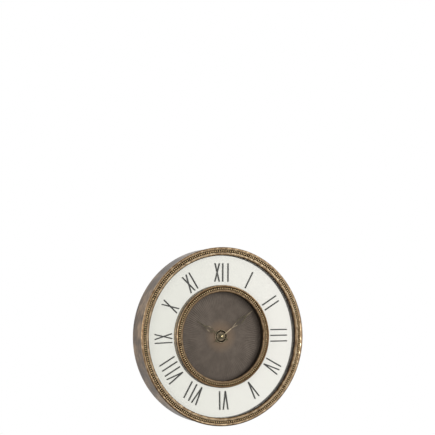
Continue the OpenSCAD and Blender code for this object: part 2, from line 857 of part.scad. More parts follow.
module mounting_nut() {
    color("#c2a15a") from_wall() difference() {
        translate([0, 0, nut_z]) cylinder(h = nut_t, r = nut_r, $fn = 6);
        bar([0, 0], bush_r, nut_z - cut, nut_z + nut_t + cut);
    }
}

// Movement

// Upright box with rounded corners between two levels
module rounded_box(half, low, high) {
    translate([0, 0, low]) linear_extrude(high - low) union() {
        square([2 * half, 2 * (half - corner_r)], center = true);
        square([2 * (half - corner_r), 2 * half], center = true);
        for (side = [-1, 1]) for (row = [-1, 1])
            translate([side * (half - corner_r), row * (half - corner_r)]) circle(r = corner_r);
    }
}

module movement_case() {
    color("#26282a") from_wall() {
        difference() {
            rounded_box(movement_half, shell_rear_z, cavity_front_z);
            block([-inner_half, divider_y, cavity_rear_z],
                [inner_half, inner_half, cavity_front_z + cut]);
            block([-inner_half, -inner_half, shell_rear_z - cut],
                [inner_half, bay_top_y, cavity_front_z + cut]);
            for (side = [-1, 1]) block(
                [side * (inner_half - contact_slot / 2) - contact_slot / 2, bay_top_y - cut,
                    movement_z - contact_arm_depth],
                [side * (inner_half - contact_slot / 2) + contact_slot / 2, divider_y + cut,
                    movement_z - contact_arm_depth + contact_arm_h + seat_gap]);
            bar(knob_at, knob_shaft_r + run_gap, shell_rear_z - cut, cavity_rear_z + cut);
            for (at = [third_at, fourth_at, relay_at, rotor_at])
                bar(at, pivot_r + run_gap, cavity_rear_z - pivot_sink, cavity_rear_z + cut);
            bar([0, 0], centre_pivot_r + run_gap, cavity_rear_z - pivot_sink, cavity_rear_z + cut);
        }
        for (at = bridge_posts) difference() {
            bar(at, bridge_post_r, cavity_rear_z - cut, movement_z - bridge_depth);
            bar(at, bridge_screw_r, movement_z - bridge_depth - bridge_screw_len,
                movement_z - bridge_depth + cut);
        }
        for (y = [coil_low_y, coil_high_y]) {
            bar([coil_x, y], coil_post_r, cavity_rear_z - cut, movement_z - stator_depth);
            bar([coil_x, y], stake_r, cavity_rear_z - cut,
                movement_z - stator_depth + stator_t + core_t + stake_proud);
        }
    }
}

module movement_front() {
    color("#2f3234") from_wall() difference() {
        union() {
            rounded_box(movement_half, cavity_front_z, movement_z);
            bar([0, 0], bush_r, cavity_front_z, bush_top_z);
        }
        bar([0, 0], bush_bore_r, cavity_front_z - cut, bush_top_z + cut);
        bar(minute_wheel_at, arbor_r + run_gap, cavity_front_z - cut, cavity_front_z + front_sink);
        bar(knob_at, centre_pivot_r + run_gap, cavity_front_z - cut, cavity_front_z + front_sink);
    }
}

module middle_plate() {
    color("#d9d2bd") from_wall() difference() {
        block([bridge_left, divider_y + bridge_gap, movement_z - bridge_depth],
            [bridge_right, bridge_top, movement_z - bridge_depth + bridge_t]);
        bar([0, 0], centre_shaft_r + run_gap, movement_z - bridge_depth - cut, movement_z - motion_depth);
        for (at = [third_at, fourth_at, relay_at, rotor_at, minute_wheel_at])
            bar(at, pivot_r + run_gap, movement_z - bridge_depth - cut, movement_z - motion_depth);
        bar(knob_at, knob_shaft_r + run_gap, movement_z - bridge_depth - cut, movement_z - motion_depth);
        for (at = bridge_posts)
            bar(at, bridge_screw_r, movement_z - bridge_depth - cut, movement_z - motion_depth);
    }
}

module plate_screws() {
    top = movement_z - bridge_depth + bridge_t;
    color("#b9b6ad") from_wall() for (at = bridge_posts) {
        bar(at, bridge_head_r, top, top + bridge_head_t);
        bar(at, bridge_screw_r, movement_z - bridge_depth - bridge_screw_len + seat_gap,
            top + bridge_head_t);
    }
}

module circuit_board() {
    color("#2f6a46") from_wall() {
        block([pcb_left, pcb_low, cavity_rear_z], [pcb_right, pcb_high, cavity_rear_z + pcb_t]);
        bar(chip_at, chip_r, cavity_rear_z + pcb_t - pcb_t / 2, cavity_rear_z + pcb_t + chip_t);
    }
}

module quartz_crystal() {
    color("#c9ccd0") from_wall()
        translate([crystal_at[0], crystal_at[1], cavity_rear_z + pcb_t + crystal_r])
            rotate([-90, 0, 0]) cylinder(h = crystal_len, r = crystal_r);
}

// Arm of the stator from the rotor to one end of the coil
module stator_arm(end_y) {
    polygon([[rotor_at[0] - stator_arm_w / 2, rotor_at[1]],
        [stator_elbow_x - stator_arm_w / 2, end_y + sign(end_y - rotor_at[1]) * stator_arm_w / 2],
        [coil_x, end_y + sign(end_y - rotor_at[1]) * stator_arm_w / 2],
        [coil_x, end_y - sign(end_y - rotor_at[1]) * stator_arm_w / 2],
        [stator_elbow_x + stator_arm_w / 2, end_y - sign(end_y - rotor_at[1]) * stator_arm_w / 2],
        [rotor_at[0] + stator_arm_w / 2, rotor_at[1]]]);
}

module stator() {
    low = movement_z - stator_depth;
    color("#8f9396") from_wall() difference() {
        union() {
            bar(rotor_at, magnet_r + stator_gap + stator_ring_t, low, low + stator_t);
            for (y = [coil_low_y, coil_high_y]) {
                translate([0, 0, low]) linear_extrude(stator_t) stator_arm(y);
                bar([coil_x, y], stator_arm_w / 2, low, low + stator_t);
            }
        }
        bar(rotor_at, magnet_r + stator_gap, low - cut, low + stator_t + cut);
        for (y = [coil_low_y, coil_high_y]) bar([coil_x, y], stake_r, low - cut, low + stator_t + cut);
    }
}

module coil_core() {
    low = movement_z - stator_depth + stator_t;
    color("#8f9396") from_wall() difference() {
        block([coil_x - core_w / 2, coil_low_y - core_end, low],
            [coil_x + core_w / 2, coil_high_y + core_end, low + core_t]);
        for (y = [coil_low_y, coil_high_y]) bar([coil_x, y], stake_r, low - cut, low + core_t + cut);
    }
}

// Places a child that stands on the xy plane along the coil's axis
module on_coil(y) {
    translate([coil_x, y, movement_z - stator_depth + stator_t + core_t / 2])
        rotate([-90, 0, 0]) children();
}

coil_from = coil_low_y + bobbin_end;
coil_len = coil_high_y - coil_low_y - 2 * bobbin_end;

module coil_bobbin() {
    color("#ded7c2") from_wall() difference() {
        union() {
            on_coil(coil_from) cylinder(h = coil_len, r = bobbin_r);
            on_coil(coil_from) cylinder(h = bobbin_flange_t, r = bobbin_flange_r);
            on_coil(coil_from + coil_len - bobbin_flange_t)
                cylinder(h = bobbin_flange_t, r = bobbin_flange_r);
        }
        on_coil(coil_from - cut) translate([-core_w / 2, -core_t / 2, 0])
            cube([core_w, core_t, coil_len + 2 * cut]);
    }
}

module coil_winding() {
    color("#a6552c") from_wall() difference() {
        on_coil(coil_from + bobbin_flange_t)
            cylinder(h = coil_len - 2 * bobbin_flange_t, r = winding_r);
        on_coil(coil_from) cylinder(h = coil_len, r = bobbin_r);
    }
}

// Wheels

module rotor() {
    color("#44474a") from_wall() {
        bar(rotor_at, magnet_r, movement_z - magnet_depth, movement_z - magnet_depth + magnet_t);
        pinion(rotor_at, rotor_pinion_depth, rotor_pinion_t, rotor_teeth, relay_unit, rotor_turn);
        arbor(rotor_at);
    }
}

module intermediate_wheel() {
    color("#f0ece0") from_wall() {
        wheel(relay_at, relay_wheel_depth, relay_wheel_t, relay_teeth, relay_unit, 0);
        pinion(relay_at, relay_pinion_depth, relay_pinion_t, relay_pinion_teeth, fourth_unit, relay_turn);
        arbor(relay_at);
    }
}

module fourth_wheel() {
    color("#f0ece0") from_wall() {
        wheel(fourth_at, fourth_wheel_depth, fourth_wheel_t, fourth_teeth, fourth_unit, 0);
        pinion(fourth_at, fourth_pinion_depth, fourth_pinion_t, fourth_pinion_teeth, third_unit,
            fourth_turn);
        arbor(fourth_at);
    }
}

module third_wheel() {
    color("#f0ece0") from_wall() {
        wheel(third_at, third_wheel_depth, third_wheel_t, third_teeth, third_unit, 0);
        pinion(third_at, third_pinion_depth, third_pinion_t, third_pinion_teeth, centre_unit, third_turn);
        arbor(third_at);
    }
}

module centre_wheel() {
    low = movement_z - centre_wheel_depth;
    color("#f0ece0") from_wall() difference() {
        union() {
            wheel([0, 0], centre_wheel_depth, centre_wheel_t, centre_teeth, centre_unit, 0);
            bar([0, 0], centre_hub_r, low - centre_wheel_t, low + centre_wheel_t);
        }
        bar([0, 0], centre_shaft_r + run_gap, low - centre_wheel_t - cut, low + centre_wheel_t + cut);
    }
}

module minute_arbor() {
    color("#c8b070") from_wall() {
        bar([0, 0], centre_pivot_r, cavity_rear_z - pivot_sink + seat_gap, movement_z - motion_depth);
        bar([0, 0], centre_shaft_r, movement_z - centre_wheel_depth - centre_wheel_t - seat_gap,
            movement_z - motion_depth);
        bar([0, 0], centre_hub_r, movement_z - centre_wheel_depth - 2 * centre_wheel_t - seat_gap,
            movement_z - centre_wheel_depth - centre_wheel_t - seat_gap);
        pinion([0, 0], motion_depth, motion_t, cannon_teeth, motion_unit, 0);
        bar([0, 0], minute_shaft_r, movement_z - motion_depth, minute_hand_z);
        bar([0, 0], thread_r, movement_z - motion_depth, cap_z + thread_reach);
    }
}

module minute_wheel() {
    color("#f0ece0") from_wall() {
        wheel(minute_wheel_at, minute_wheel_depth, minute_wheel_t, minute_wheel_teeth, motion_unit,
            minute_wheel_turn);
        pinion(minute_wheel_at, minute_pinion_depth, minute_pinion_t, minute_pinion_teeth, hour_unit, 0);
        bar(minute_wheel_at, arbor_r, movement_z - minute_wheel_depth,
            cavity_front_z + front_sink - seat_gap);
        bar(minute_wheel_at, pivot_r, movement_z - bridge_depth, movement_z - minute_wheel_depth);
        bar(minute_wheel_at, centre_shaft_r, movement_z - minute_wheel_depth,
            movement_z - minute_pinion_depth);
    }
}

module hour_wheel() {
    color("#e6dfc9") from_wall() difference() {
        union() {
            wheel([0, 0], hour_wheel_depth, hour_wheel_t, hour_wheel_teeth, hour_unit, hour_wheel_turn);
            bar([0, 0], pipe_r, movement_z - hour_wheel_depth, hour_hand_z + hand_t + seat_gap);
        }
        bar([0, 0], minute_shaft_r + pipe_gap, movement_z - hour_wheel_depth - cut,
            hour_hand_z + hand_t + seat_gap + cut);
    }
}

module set_knob() {
    color("#1f2022") from_wall() {
        pinion(knob_at, motion_depth, motion_t, knob_teeth, motion_unit, knob_turn);
        bar(knob_at, knob_shaft_r, shell_rear_z - knob_gap - knob_t, movement_z - motion_depth);
        bar(knob_at, centre_pivot_r, movement_z - motion_depth, cavity_front_z + front_sink - seat_gap);
        bar(knob_at, knob_r, shell_rear_z - knob_gap - knob_t, shell_rear_z - knob_gap);
        translate([knob_at[0], knob_at[1], shell_rear_z - knob_gap - knob_t])
            around(knob_ribs, knob_r) cylinder(h = knob_t, r = knob_rib_r);
    }
}

module positive_contact() {
    low = movement_z - contact_arm_depth;
    color("#d0cfc8") from_wall() {
        block([inner_half - contact_t, battery_y - contact_w / 2, battery_z - contact_w / 2],
            [inner_half, battery_y + contact_w / 2, battery_z + contact_w / 2]);
        block([inner_half - contact_t, battery_y, low],
            [inner_half, divider_y + contact_t, low + contact_arm_h]);
        block([pcb_right + contact_t, divider_y, low],
            [inner_half, divider_y + contact_t, low + contact_arm_h]);
        block([pcb_right - contact_foot, divider_y, cavity_rear_z + pcb_t],
            [pcb_right + 2 * contact_t, divider_y + contact_t, low + contact_arm_h]);
    }
}

module negative_contact() {
    low = movement_z - contact_arm_depth;
    color("#d0cfc8") from_wall() {
        block([-inner_half, battery_y - contact_w / 2, battery_z - contact_w / 2],
            [-inner_half + contact_t, battery_y + contact_w / 2, battery_z + contact_w / 2]);
        translate([-inner_half, battery_y, battery_z]) rotate([0, 90, 0])
            cylinder(h = inner_half - battery_len / 2 - seat_gap / 2, r = nub_r);
        block([-inner_half, battery_y, low],
            [-inner_half + contact_t, divider_y + contact_foot, low + contact_arm_h]);
        block([-inner_half, divider_y + contact_t, cavity_rear_z + pcb_t],
            [-inner_half + contact_t, divider_y + contact_foot, low + contact_arm_h]);
    }
}

module battery() {
    color("#8a8f94") from_wall() translate([-battery_len / 2, battery_y, battery_z])
        rotate([0, 90, 0]) {
            cylinder(h = battery_len - nub_len, r = battery_d / 2);
            cylinder(h = battery_len, r = nub_r);
        }
}

// Hands

// Pierced leaf hand along +y, with a hub, a stem, a tapering tip and a flared tail
module hand_outline(length, tail, leaf_low, leaf_high, leaf_w, peak_share, hub_r, hole_r) {
    difference() {
        union() {
            circle(r = hub_r);
            polygon([[-stem_w, -tail + tail_end_len / 2], [stem_w, -tail + tail_end_len / 2],
                [stem_w, leaf_low + leaf_lap], [-stem_w, leaf_low + leaf_lap]]);
            polygon([[-stem_w, leaf_high - leaf_lap], [stem_w, leaf_high - leaf_lap],
                [tip_w, length], [-tip_w, length]]);
            polygon(concat(leaf_side(leaf_low, leaf_high, leaf_w, peak_share, 1),
                leaf_side(leaf_low, leaf_high, leaf_w, peak_share, -1)));
            polygon(concat(leaf_side(-tail, -tail + tail_end_len, tail_end_w, 0.5, 1),
                leaf_side(-tail, -tail + tail_end_len, tail_end_w, 0.5, -1)));
        }
        circle(r = hole_r);
        polygon(concat(
            leaf_side(leaf_low + 2 * leaf_lap, leaf_high - 2 * leaf_lap, leaf_w - strand_w,
                peak_share, 1),
            leaf_side(leaf_low + 2 * leaf_lap, leaf_high - 2 * leaf_lap, leaf_w - strand_w,
                peak_share, -1)));
    }
}

module hour_hand() {
    color("#7a6a50") from_wall() rotate(-hour_angle) {
        translate([0, 0, hour_hand_z]) linear_extrude(hand_t)
            hand_outline(hour_len, hour_tail, hour_len * hour_leaf_share,
                hour_len * hour_leaf_top_share, hour_leaf_w, hour_peak_share, hour_hub_r, pipe_r);
        ring(pipe_r, pipe_r + collet_t, hour_hand_z - collet_t, hour_hand_z + hand_t);
    }
}

module minute_hand() {
    color("#7a6a50") from_wall() rotate(-minute_angle) translate([0, 0, minute_hand_z])
        linear_extrude(hand_t)
            hand_outline(minute_len, minute_tail, minute_len * minute_leaf_share,
                minute_len * minute_leaf_top_share, minute_leaf_w, minute_peak_share,
                minute_hub_r, thread_r);
}

module cap_nut() {
    color("#c9a45c") from_wall() difference() {
        union() {
            bar([0, 0], cap_r, cap_z, cap_z + cap_base_t);
            translate([0, 0, cap_z + cap_base_t]) rotate_extrude() intersection() {
                scale([1, (cap_h - cap_base_t) / cap_r]) circle(r = cap_r);
                square([cap_r, cap_r]);
            }
        }
        bar([0, 0], thread_r, cap_z - cut, cap_z + thread_reach + seat_gap);
    }
}

case_band();
rear_panel();
band_screws();
spacer_posts();
post_screws();
hanger_plate();
hanger_screws();
outer_bezel();
outer_beading();
bezel_screws();
dial_board();
mirror_tape();
mirror_ring();
numerals();
inner_bezel();
inner_beading();
inner_bezel_screws();
dial_plate();
dial_boss();
movement_case();
movement_front();
middle_plate();
plate_screws();
movement_gasket();
mounting_washer();
mounting_nut();
circuit_board();
quartz_crystal();
stator();
coil_core();
coil_bobbin();
coil_winding();
rotor();
intermediate_wheel();
fourth_wheel();
third_wheel();
centre_wheel();
minute_arbor();
minute_wheel();
hour_wheel();
set_knob();
positive_contact();
negative_contact();
battery();
hour_hand();
minute_hand();
cap_nut();
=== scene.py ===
import math

import bmesh
import bpy
from mathutils import Euler, Matrix, Vector


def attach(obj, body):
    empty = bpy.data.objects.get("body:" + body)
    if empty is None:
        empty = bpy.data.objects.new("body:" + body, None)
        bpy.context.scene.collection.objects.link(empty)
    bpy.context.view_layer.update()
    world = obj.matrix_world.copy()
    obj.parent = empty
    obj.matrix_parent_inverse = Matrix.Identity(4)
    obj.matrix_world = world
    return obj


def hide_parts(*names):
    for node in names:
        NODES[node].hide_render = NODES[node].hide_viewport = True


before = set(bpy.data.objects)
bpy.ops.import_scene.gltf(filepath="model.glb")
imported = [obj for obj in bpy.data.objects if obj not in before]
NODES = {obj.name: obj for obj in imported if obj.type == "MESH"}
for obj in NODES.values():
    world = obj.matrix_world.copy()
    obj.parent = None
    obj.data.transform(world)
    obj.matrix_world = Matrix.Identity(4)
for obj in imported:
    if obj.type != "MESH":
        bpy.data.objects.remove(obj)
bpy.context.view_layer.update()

MM = 0.001

# Camera that matches the photograph: its distance in metres, its angles in degrees
EYE_DISTANCE = 5.6
EYE_YAW = 25.25
EYE_RISE = 1.851
EYE_TURN = (4.1221, -0.1494, -0.925)
LENS_MM = 135.96
SENSOR_MM = 36

# Angles of the hands at rest, in degrees clockwise from twelve
MINUTE_ANGLE = 54
HOUR_ANGLE = 300

# Steps in a full turn of a round shape
ROUND_STEPS = 256

# Sizes of the clock are in millimetres. A name in _R is a radius, in _T a thickness, in _H a
# height and in _Z a level counted from the wall.

# Outer bezel: its roll, the groove that takes the case band, its foot on the dial board and
# its quarter round
CLOCK_R = 300
BEZEL_Z = 82
ROLL_R = 4.5
BAND_R = 295.5
BAND_T = 1.2
GROOVE_GAP = 0.15
GROOVE_RISE = 1.7
SKIRT_T = 1.4
SKIRT_DROP = 6.5
FOOT_OUT_R = 291.5
FOOT_IN_R = 283.5
BOARD_Z = 66
OUTER_IN_R = 271.5
QUARTER_ROUND_R = 6
QUARTER_ROUND_Z = 79
OUTER_BEAD_R = 286.65
OUTER_CHANNEL_HALF = 4.35
OUTER_EDGE_R = 0.8

# Mirror: the silver is drawn where it seems to lie through the glass, and small gaps keep the
# drawn glass off the silver and the numerals
MIRROR_Z = 71
MIRROR_BACK_Z = 68
MIRROR_IN_R = 160
MIRROR_OUT_R = 281
SILVER_SEEN_Z = 69.1
SILVER_GAP = 0.1
NUMERAL_GAP = 0.02

# Inner bezel: its roll, its foot, its bead channel and the lip round the dial's well
INNER_R = 172.5
INNER_ROLL_R = 4
INNER_ROLL_Z = 79.5
INNER_FOOT_STEP = 3
INNER_BEAD_R = 161
INNER_CHANNEL_HALF = 3.5
INNER_FLOOR_Z = 80.5
INNER_EDGE_R = 0.6
WELL_R = 149.5
LIP_Z = 82.5
LIP_R = 3

# Dial and the flutes pressed into it, whose rings are picked out with a margin
DIAL_Z = 61.2
DIAL_SEAT_Z = 60
DIAL_R = 157.5
DIAL_HOLE_R = 4.2
DIAL_FLAT_R = 25
FLUTES = 120
FLUTE_STEPS = 8
FLUTE_RINGS = 12
FLUTE_H = 0.6
FLUTE_LOW = 0.25
FLUTE_IN_R = 27
FLUTE_END_R = 145.5
FLUTE_OUT_R = 147.5
RING_MARGIN = 1

# Rosette: its rim, the dish inside it and a small ring on its floor
BOSS_R = 23
BOSS_H = 3.2
BOSS_RIM_R = 1.5
BOSS_DISH_R = 3
BOSS_FLOOR_T = 1
BOSS_RING_R = 14.2
BOSS_RING_T = 0.9
BOSS_FLAT_R = 9
BOSS_STEPS = 96

# Beads, a little oval: wider across the channel than along it
BEAD_R = 3.1
BEAD_ACROSS = 1.15
BEAD_ALONG = 0.84
BEAD_PITCH = 6.9
BEAD_SIDES = 10
BEAD_LAYERS = 8
BEAD_STRIP_T = 0.8
BEAD_STRIP_EDGE = 0.25

# Cap nut, and the rounding of the hands where they turn by more than an angle in degrees
CAP_R = 4
CAP_Z = 70.4
CAP_H = 3.4
CAP_RIM_H = 0.8
CAP_HOLE_R = 1.25
CAP_HOLE_H = 2
CAP_TIP_R = 0.02
CAP_STEPS = 32
HAND_EDGE = 0.25
HAND_SHARP = 35

# Studio: the floor in metres, the level of the surround and the lamps
FLOOR_R = 3
FLOOR_Z = -1.5
FLOOR_STEPS = 64
SURROUND_LEVEL = 0.6
LAMPS = [
    # name, place in metres, width in metres, watts
    ("key_right", (2.4, -2.2, 1.6), 2.0, 46),
    ("strip_left", (-2.4, -1.1, 0.2), 0.5, 46),
]

# Noise with fine parts, softer noise, and bare metal
FINE = {"Detail": 3.0, "Roughness": 0.55}
SOFT = {"Detail": 2.0, "Roughness": 0.55}
METAL = {"Metallic": 1.0}

# Shades of the gold from dull to bright, of a bead from its crown down, and the brown of the
# painted shade under the bezels
GOLD_SHADES = [(0.35, "#68533c"), (0.45, "#998164"), (0.54, "#bea685"), (0.65, "#f4dfbc")]
BEAD_SHADES = [(0.22, "#fbdba8"), (0.38, "#bf9663"), (0.48, "#2e1f11"), (0.56, "#050301")]
UNDERSIDE_SHADE_BROWN = "#3a2c1f"
# Shades that multiply each bezel's colour, by radius in millimetres: dark wax in the hollows, and
# painted shade on the well wall and in lines beside the rolls' lit crowns
OUTER_WAX_AND_SHADE = [(271.5, "#32251a"), (272.6, "#483d32"), (275, "#ab9f8e"), (277, "#dfdfdf"),
              (281.5, "#dfdfdf"), (282.3, "#32251a"), (290.6, "#231910"), (290.8, "#ffffff"),
              (292.6, "#ffffff"), (293.8, "#dfdfdf"), (294.3, "#c6bbad"), (295.4, "#dfdfdf"),
              (296.8, "#bdb19f"), (297.8, "#7b6a58"), (298.8, "#bdb3a7"), (300, "#dfdfdf")]
# The dark grey at the well wall, 149.5 mm, is a painted shadow cast by the lip.
INNER_WAX_AND_SHADE = [(149.5, "#424140"), (150, "#7d7468"), (151, "#93897c"), (154, "#bdb9b4"),
              (156.8, "#9a948d"), (157.5, "#32251a"), (164.5, "#231910"), (165.3, "#726250"),
              (167.5, "#908373"), (169.5, "#bdb19f"), (171.2, "#dfdfdf"), (172.1, "#605448"),
              (172.5, "#32251a")]
# Painted highlight on each hand, by the distance along it from its axis in millimetres
MINUTE_PAINTED_HIGHLIGHT = [(0, "#000000"), (6, "#222222"), (22, "#cccccc"), (64, "#bbbbbb"),
                 (70, "#000000"), (112, "#000000"), (122, "#777777"), (146, "#999999")]
HOUR_PAINTED_HIGHLIGHT = [(0, "#000000"), (47, "#000000"), (52, "#999999"), (57, "#999999"),
               (62, "#000000"), (90, "#000000")]


# Shapes

def arc(mid, radius, start, end, steps):
    """Points of an arc in the plane of radius and level, angles in degrees."""
    points = []
    for step in range(steps + 1):
        angle = math.radians(start + (end - start) * step / steps)
        points.append((mid[0] + radius * math.cos(angle), mid[1] + radius * math.sin(angle)))
    return points


def turned(outline, steps=ROUND_STEPS):
    """Closed solid spun round the dial axis from an outline of radius and level."""
    shape = bmesh.new()
    corners = [shape.verts.new((r * MM, -z * MM, 0)) for r, z in outline]
    edges = [shape.edges.new((corners[i - 1], corners[i])) for i in range(len(corners))]
    bmesh.ops.spin(shape, geom=corners + edges, cent=(0, 0, 0), axis=(0, 1, 0),
                   angle=2 * math.pi, steps=steps, use_merge=True, use_duplicate=False)
    bmesh.ops.remove_doubles(shape, verts=shape.verts, dist=1e-6)
    bmesh.ops.recalc_face_normals(shape, faces=shape.faces)
    return shape


def make_piece(shape, name, finish, body, node, sharp=40):
    """Makes a shape a finished piece that rides on a body and stands for its CAD node."""
    mesh = bpy.data.meshes.new(name)
    shape.to_mesh(mesh)
    shape.free()
    for face in mesh.polygons:
        face.use_smooth = True
    mesh.set_sharp_from_angle(angle=math.radians(sharp))
    piece = bpy.data.objects.new(name, mesh)
    bpy.context.scene.collection.objects.link(piece)
    mesh.materials.append(finish)
    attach(piece, body)
    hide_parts(node)
    return piece


def beading(bead_r, floor_z, name, finish, node):
    """Row of domed beads on a thin strip that lies in a bezel's channel."""
    edge = BEAD_R + BEAD_STRIP_EDGE
    top = floor_z + BEAD_STRIP_T
    shape = turned([(bead_r - edge, floor_z), (bead_r + edge, floor_z),
                    (bead_r + edge, top), (bead_r - edge, top)])
    count = int(2 * math.pi * bead_r / BEAD_PITCH)
    for i in range(count):
        angle = 2 * math.pi * i / count
        place = (Matrix.Rotation(-angle, 4, "Y")
                 @ Matrix.Translation((bead_r * MM, -top * MM, 0))
                 @ Matrix.Diagonal((BEAD_ACROSS, 1, BEAD_ALONG, 1)))
        made = bmesh.ops.create_uvsphere(shape, u_segments=BEAD_SIDES, v_segments=BEAD_LAYERS,
                                         radius=BEAD_R * MM, matrix=place)
        buried = [v for v in made["verts"] if v.co.y > -(top - BEAD_STRIP_T / 2) * MM]
        bmesh.ops.delete(shape, geom=buried, context="VERTS")
    make_piece(shape, name, finish, "case", node, sharp=60)


def rounded_hand(node, name, finish, body):
    """Copy of a hand's CAD node with its stamped edges rounded off."""
    shape = bmesh.new()
    shape.from_mesh(NODES[node].data)
    bmesh.ops.remove_doubles(shape, verts=shape.verts, dist=2e-6)
    bmesh.ops.dissolve_limit(shape, angle_limit=math.radians(1), verts=shape.verts,
                             edges=shape.edges)
    piece = make_piece(shape, name, finish, body, node, sharp=HAND_SHARP)
    bevel = piece.modifiers.new("rounded edges", "BEVEL")
    bevel.width = HAND_EDGE * MM
    bevel.segments = 2
    bevel.limit_method = "ANGLE"
    bevel.angle_limit = math.radians(HAND_SHARP)
    bevel.harden_normals = False


# Materials

def linear(code):
    """Linear colour of an sRGB hex value."""
    channels = [int(code[i:i + 2], 16) / 255 for i in (1, 3, 5)]
    return (*[c / 12.92 if c <= 0.04045 else ((c + 0.055) / 1.055) ** 2.4 for c in channels], 1)


def add(tree, kind, settings=None, links=None):
    """Adds a shader node, fills its sockets and settings, and connects what feeds it.

    A key of settings is a socket or a property, or "stops" for a ramp's places and colours. What
    feeds a socket is another socket, or a node for its first output.
    """
    made = tree.nodes.new("ShaderNode" + kind)
    for key, value in (settings or {}).items():
        if key == "stops":
            ramp = made.color_ramp
            while len(ramp.elements) < len(value):
                ramp.elements.new(1)
            for element, (place, colour) in zip(ramp.elements, value):
                element.position = place
                element.color = linear(colour)
        elif isinstance(key, int) or key in made.inputs.keys():
            made.inputs[key].default_value = value
        else:
            setattr(made, key, value)
    for key, source in (links or {}).items():
        tree.links.new(source.outputs[0] if hasattr(source, "outputs") else source,
                       made.inputs[key])
    return made


def new_finish(name):
    """Empty material, its node tree and the place on the object that its patterns read."""
    finish = bpy.data.materials.new(name)
    finish.use_nodes = True
    tree = finish.node_tree
    tree.nodes.clear()
    return finish, tree, add(tree, "TexCoord").outputs["Object"]


def surfaced(finish, sockets, links):
    """Gives a material its shader, with constant sockets and what feeds the others."""
    shader = add(finish.node_tree, "BsdfPrincipled", sockets, links)
    add(finish.node_tree, "OutputMaterial", links={"Surface": shader})
    return finish


def per_mm(size):
    """Noise scale whose patches are about a size in millimetres across."""
    return 1 / (size * MM)


def round_axis(tree, place, along, across, outward):
    """Place for patterns that run round the dial axis, and the distance from that axis.

    The sizes of a patch in millimetres are along the circle, over the depth and outward. Noise
    that reads this place has a scale of 1.
    """
    parts = add(tree, "SeparateXYZ", links={0: place})
    flat = add(tree, "CombineXYZ", links={0: parts.outputs[0], 2: parts.outputs[2]})
    way = add(tree, "VectorMath", {"operation": "NORMALIZE"}, {0: flat})
    radius = add(tree, "VectorMath", {"operation": "LENGTH"}, {0: flat}).outputs["Value"]
    depth = add(tree, "Math", {"operation": "DIVIDE", 1: across * MM}, {0: parts.outputs[1]})
    span = add(tree, "Math", {"operation": "MULTIPLY_ADD", 1: per_mm(outward)},
               {0: radius, 2: depth})
    rise = add(tree, "CombineXYZ", links={1: span})
    turns = CLOCK_R / along
    return add(tree, "VectorMath", {"operation": "MULTIPLY_ADD", 1: (turns, 0, turns)},
               {0: way, 2: rise}), radius


def blended(tree, fine, coarse, share):
    """Two patterns mixed into one, of which the fine one has a share."""
    rest = add(tree, "Math", {"operation": "MULTIPLY", 1: 1 - share}, {0: coarse})
    return add(tree, "Math", {"operation": "MULTIPLY_ADD", 1: share}, {0: fine, 2: rest})


def plain_finish(name, light, dark, size, rough, depth, **sockets):
    """Finish of two close colours in patches of a size, with fine relief of a depth."""
    finish, tree, place = new_finish(name)
    patches = add(tree, "TexNoise", {"Scale": per_mm(size), **FINE}, {"Vector": place})
    colour = add(tree, "ValToRGB", {"stops": [(0.32, dark), (0.68, light)]}, {0: patches})
    sheen = add(tree, "MapRange", {"To Min": rough - 0.05, "To Max": rough + 0.07}, {0: patches})
    grain = add(tree, "TexNoise", {"Scale": per_mm(size / 6), **SOFT}, {"Vector": place})
    relief = add(tree, "Bump", {"Strength": 1.0, "Distance": depth * MM}, {"Height": grain})
    return surfaced(finish, sockets, {"Base Color": colour, "Roughness": sheen,
                                      "Normal": relief})


def antique_gold(name, wax_and_shade_by_radius):
    """Moulded resin under antique gold paint, rubbed back by hand.

    The eye sees bright metal on the crowns of the profile, dark wax in its hollows, and painted
    shade under its lower half. wax_and_shade_by_radius gives the shade left at each radius in
    millimetres, outwards: wax together with painted shade.
    """
    finish, tree, place = new_finish(name)
    # Rubbing marks are a fraction of a millimetre wide; these are 2.2 by 8 mm so that they show.
    streaks, radius = round_axis(tree, place, along=8, across=2.2, outward=2.2)
    rubbed = add(tree, "TexNoise", {"Scale": 1.0, "Detail": 3.0, "Roughness": 0.6},
                 {"Vector": streaks})
    # The clouds are about as wide as the finger that rubbed them.
    clouds = add(tree, "TexNoise", {"Scale": per_mm(9), **FINE}, {"Vector": place})
    mixed = blended(tree, rubbed, clouds, share=0.55)
    colour = add(tree, "ValToRGB", {"stops": GOLD_SHADES}, {0: mixed})
    low, high = wax_and_shade_by_radius[0][0], wax_and_shade_by_radius[-1][0]
    across = add(tree, "MapRange", {"From Min": low * MM, "From Max": high * MM}, {0: radius})
    wax_and_shade = add(tree, "ValToRGB", {"stops": [((r - low) / (high - low), shade)
                                           for r, shade in wax_and_shade_by_radius]}, {0: across})
    wax_and_shade_applied = add(tree, "Mix", {"data_type": "RGBA", "blend_type": "MULTIPLY", 0: 1.0},
                {6: colour, 7: wax_and_shade})
    # Painted shade: darker brown where the surface faces down, below the middle of the clock.
    facing = add(tree, "SeparateXYZ", links={0: add(tree, "TexCoord").outputs["Normal"]})
    under = add(tree, "MapRange", {"From Min": -0.05, "From Max": -0.5, "To Max": 0.8},
                {0: facing.outputs[2]})
    height = add(tree, "SeparateXYZ", links={0: place})
    lower = add(tree, "MapRange", {"From Min": 60 * MM, "From Max": -60 * MM},
                {0: height.outputs[2]})
    held = add(tree, "Math", {"operation": "MULTIPLY"}, {0: under, 1: lower})
    shaded_below = add(tree, "Mix", {"data_type": "RGBA", 7: linear(UNDERSIDE_SHADE_BROWN)},
                  {0: held, 6: wax_and_shade_applied.outputs[2]})
    sheen = add(tree, "MapRange", {"From Min": 0.4, "From Max": 0.6, "To Min": 0.52,
                                   "To Max": 0.32}, {0: mixed})
    relief = add(tree, "Bump", {"Strength": 0.8, "Distance": 0.15 * MM}, {"Height": rubbed})
    return surfaced(finish, {"Metallic": 0.85}, {
        "Base Color": shaded_below.outputs[2], "Roughness": sheen, "Normal": relief})


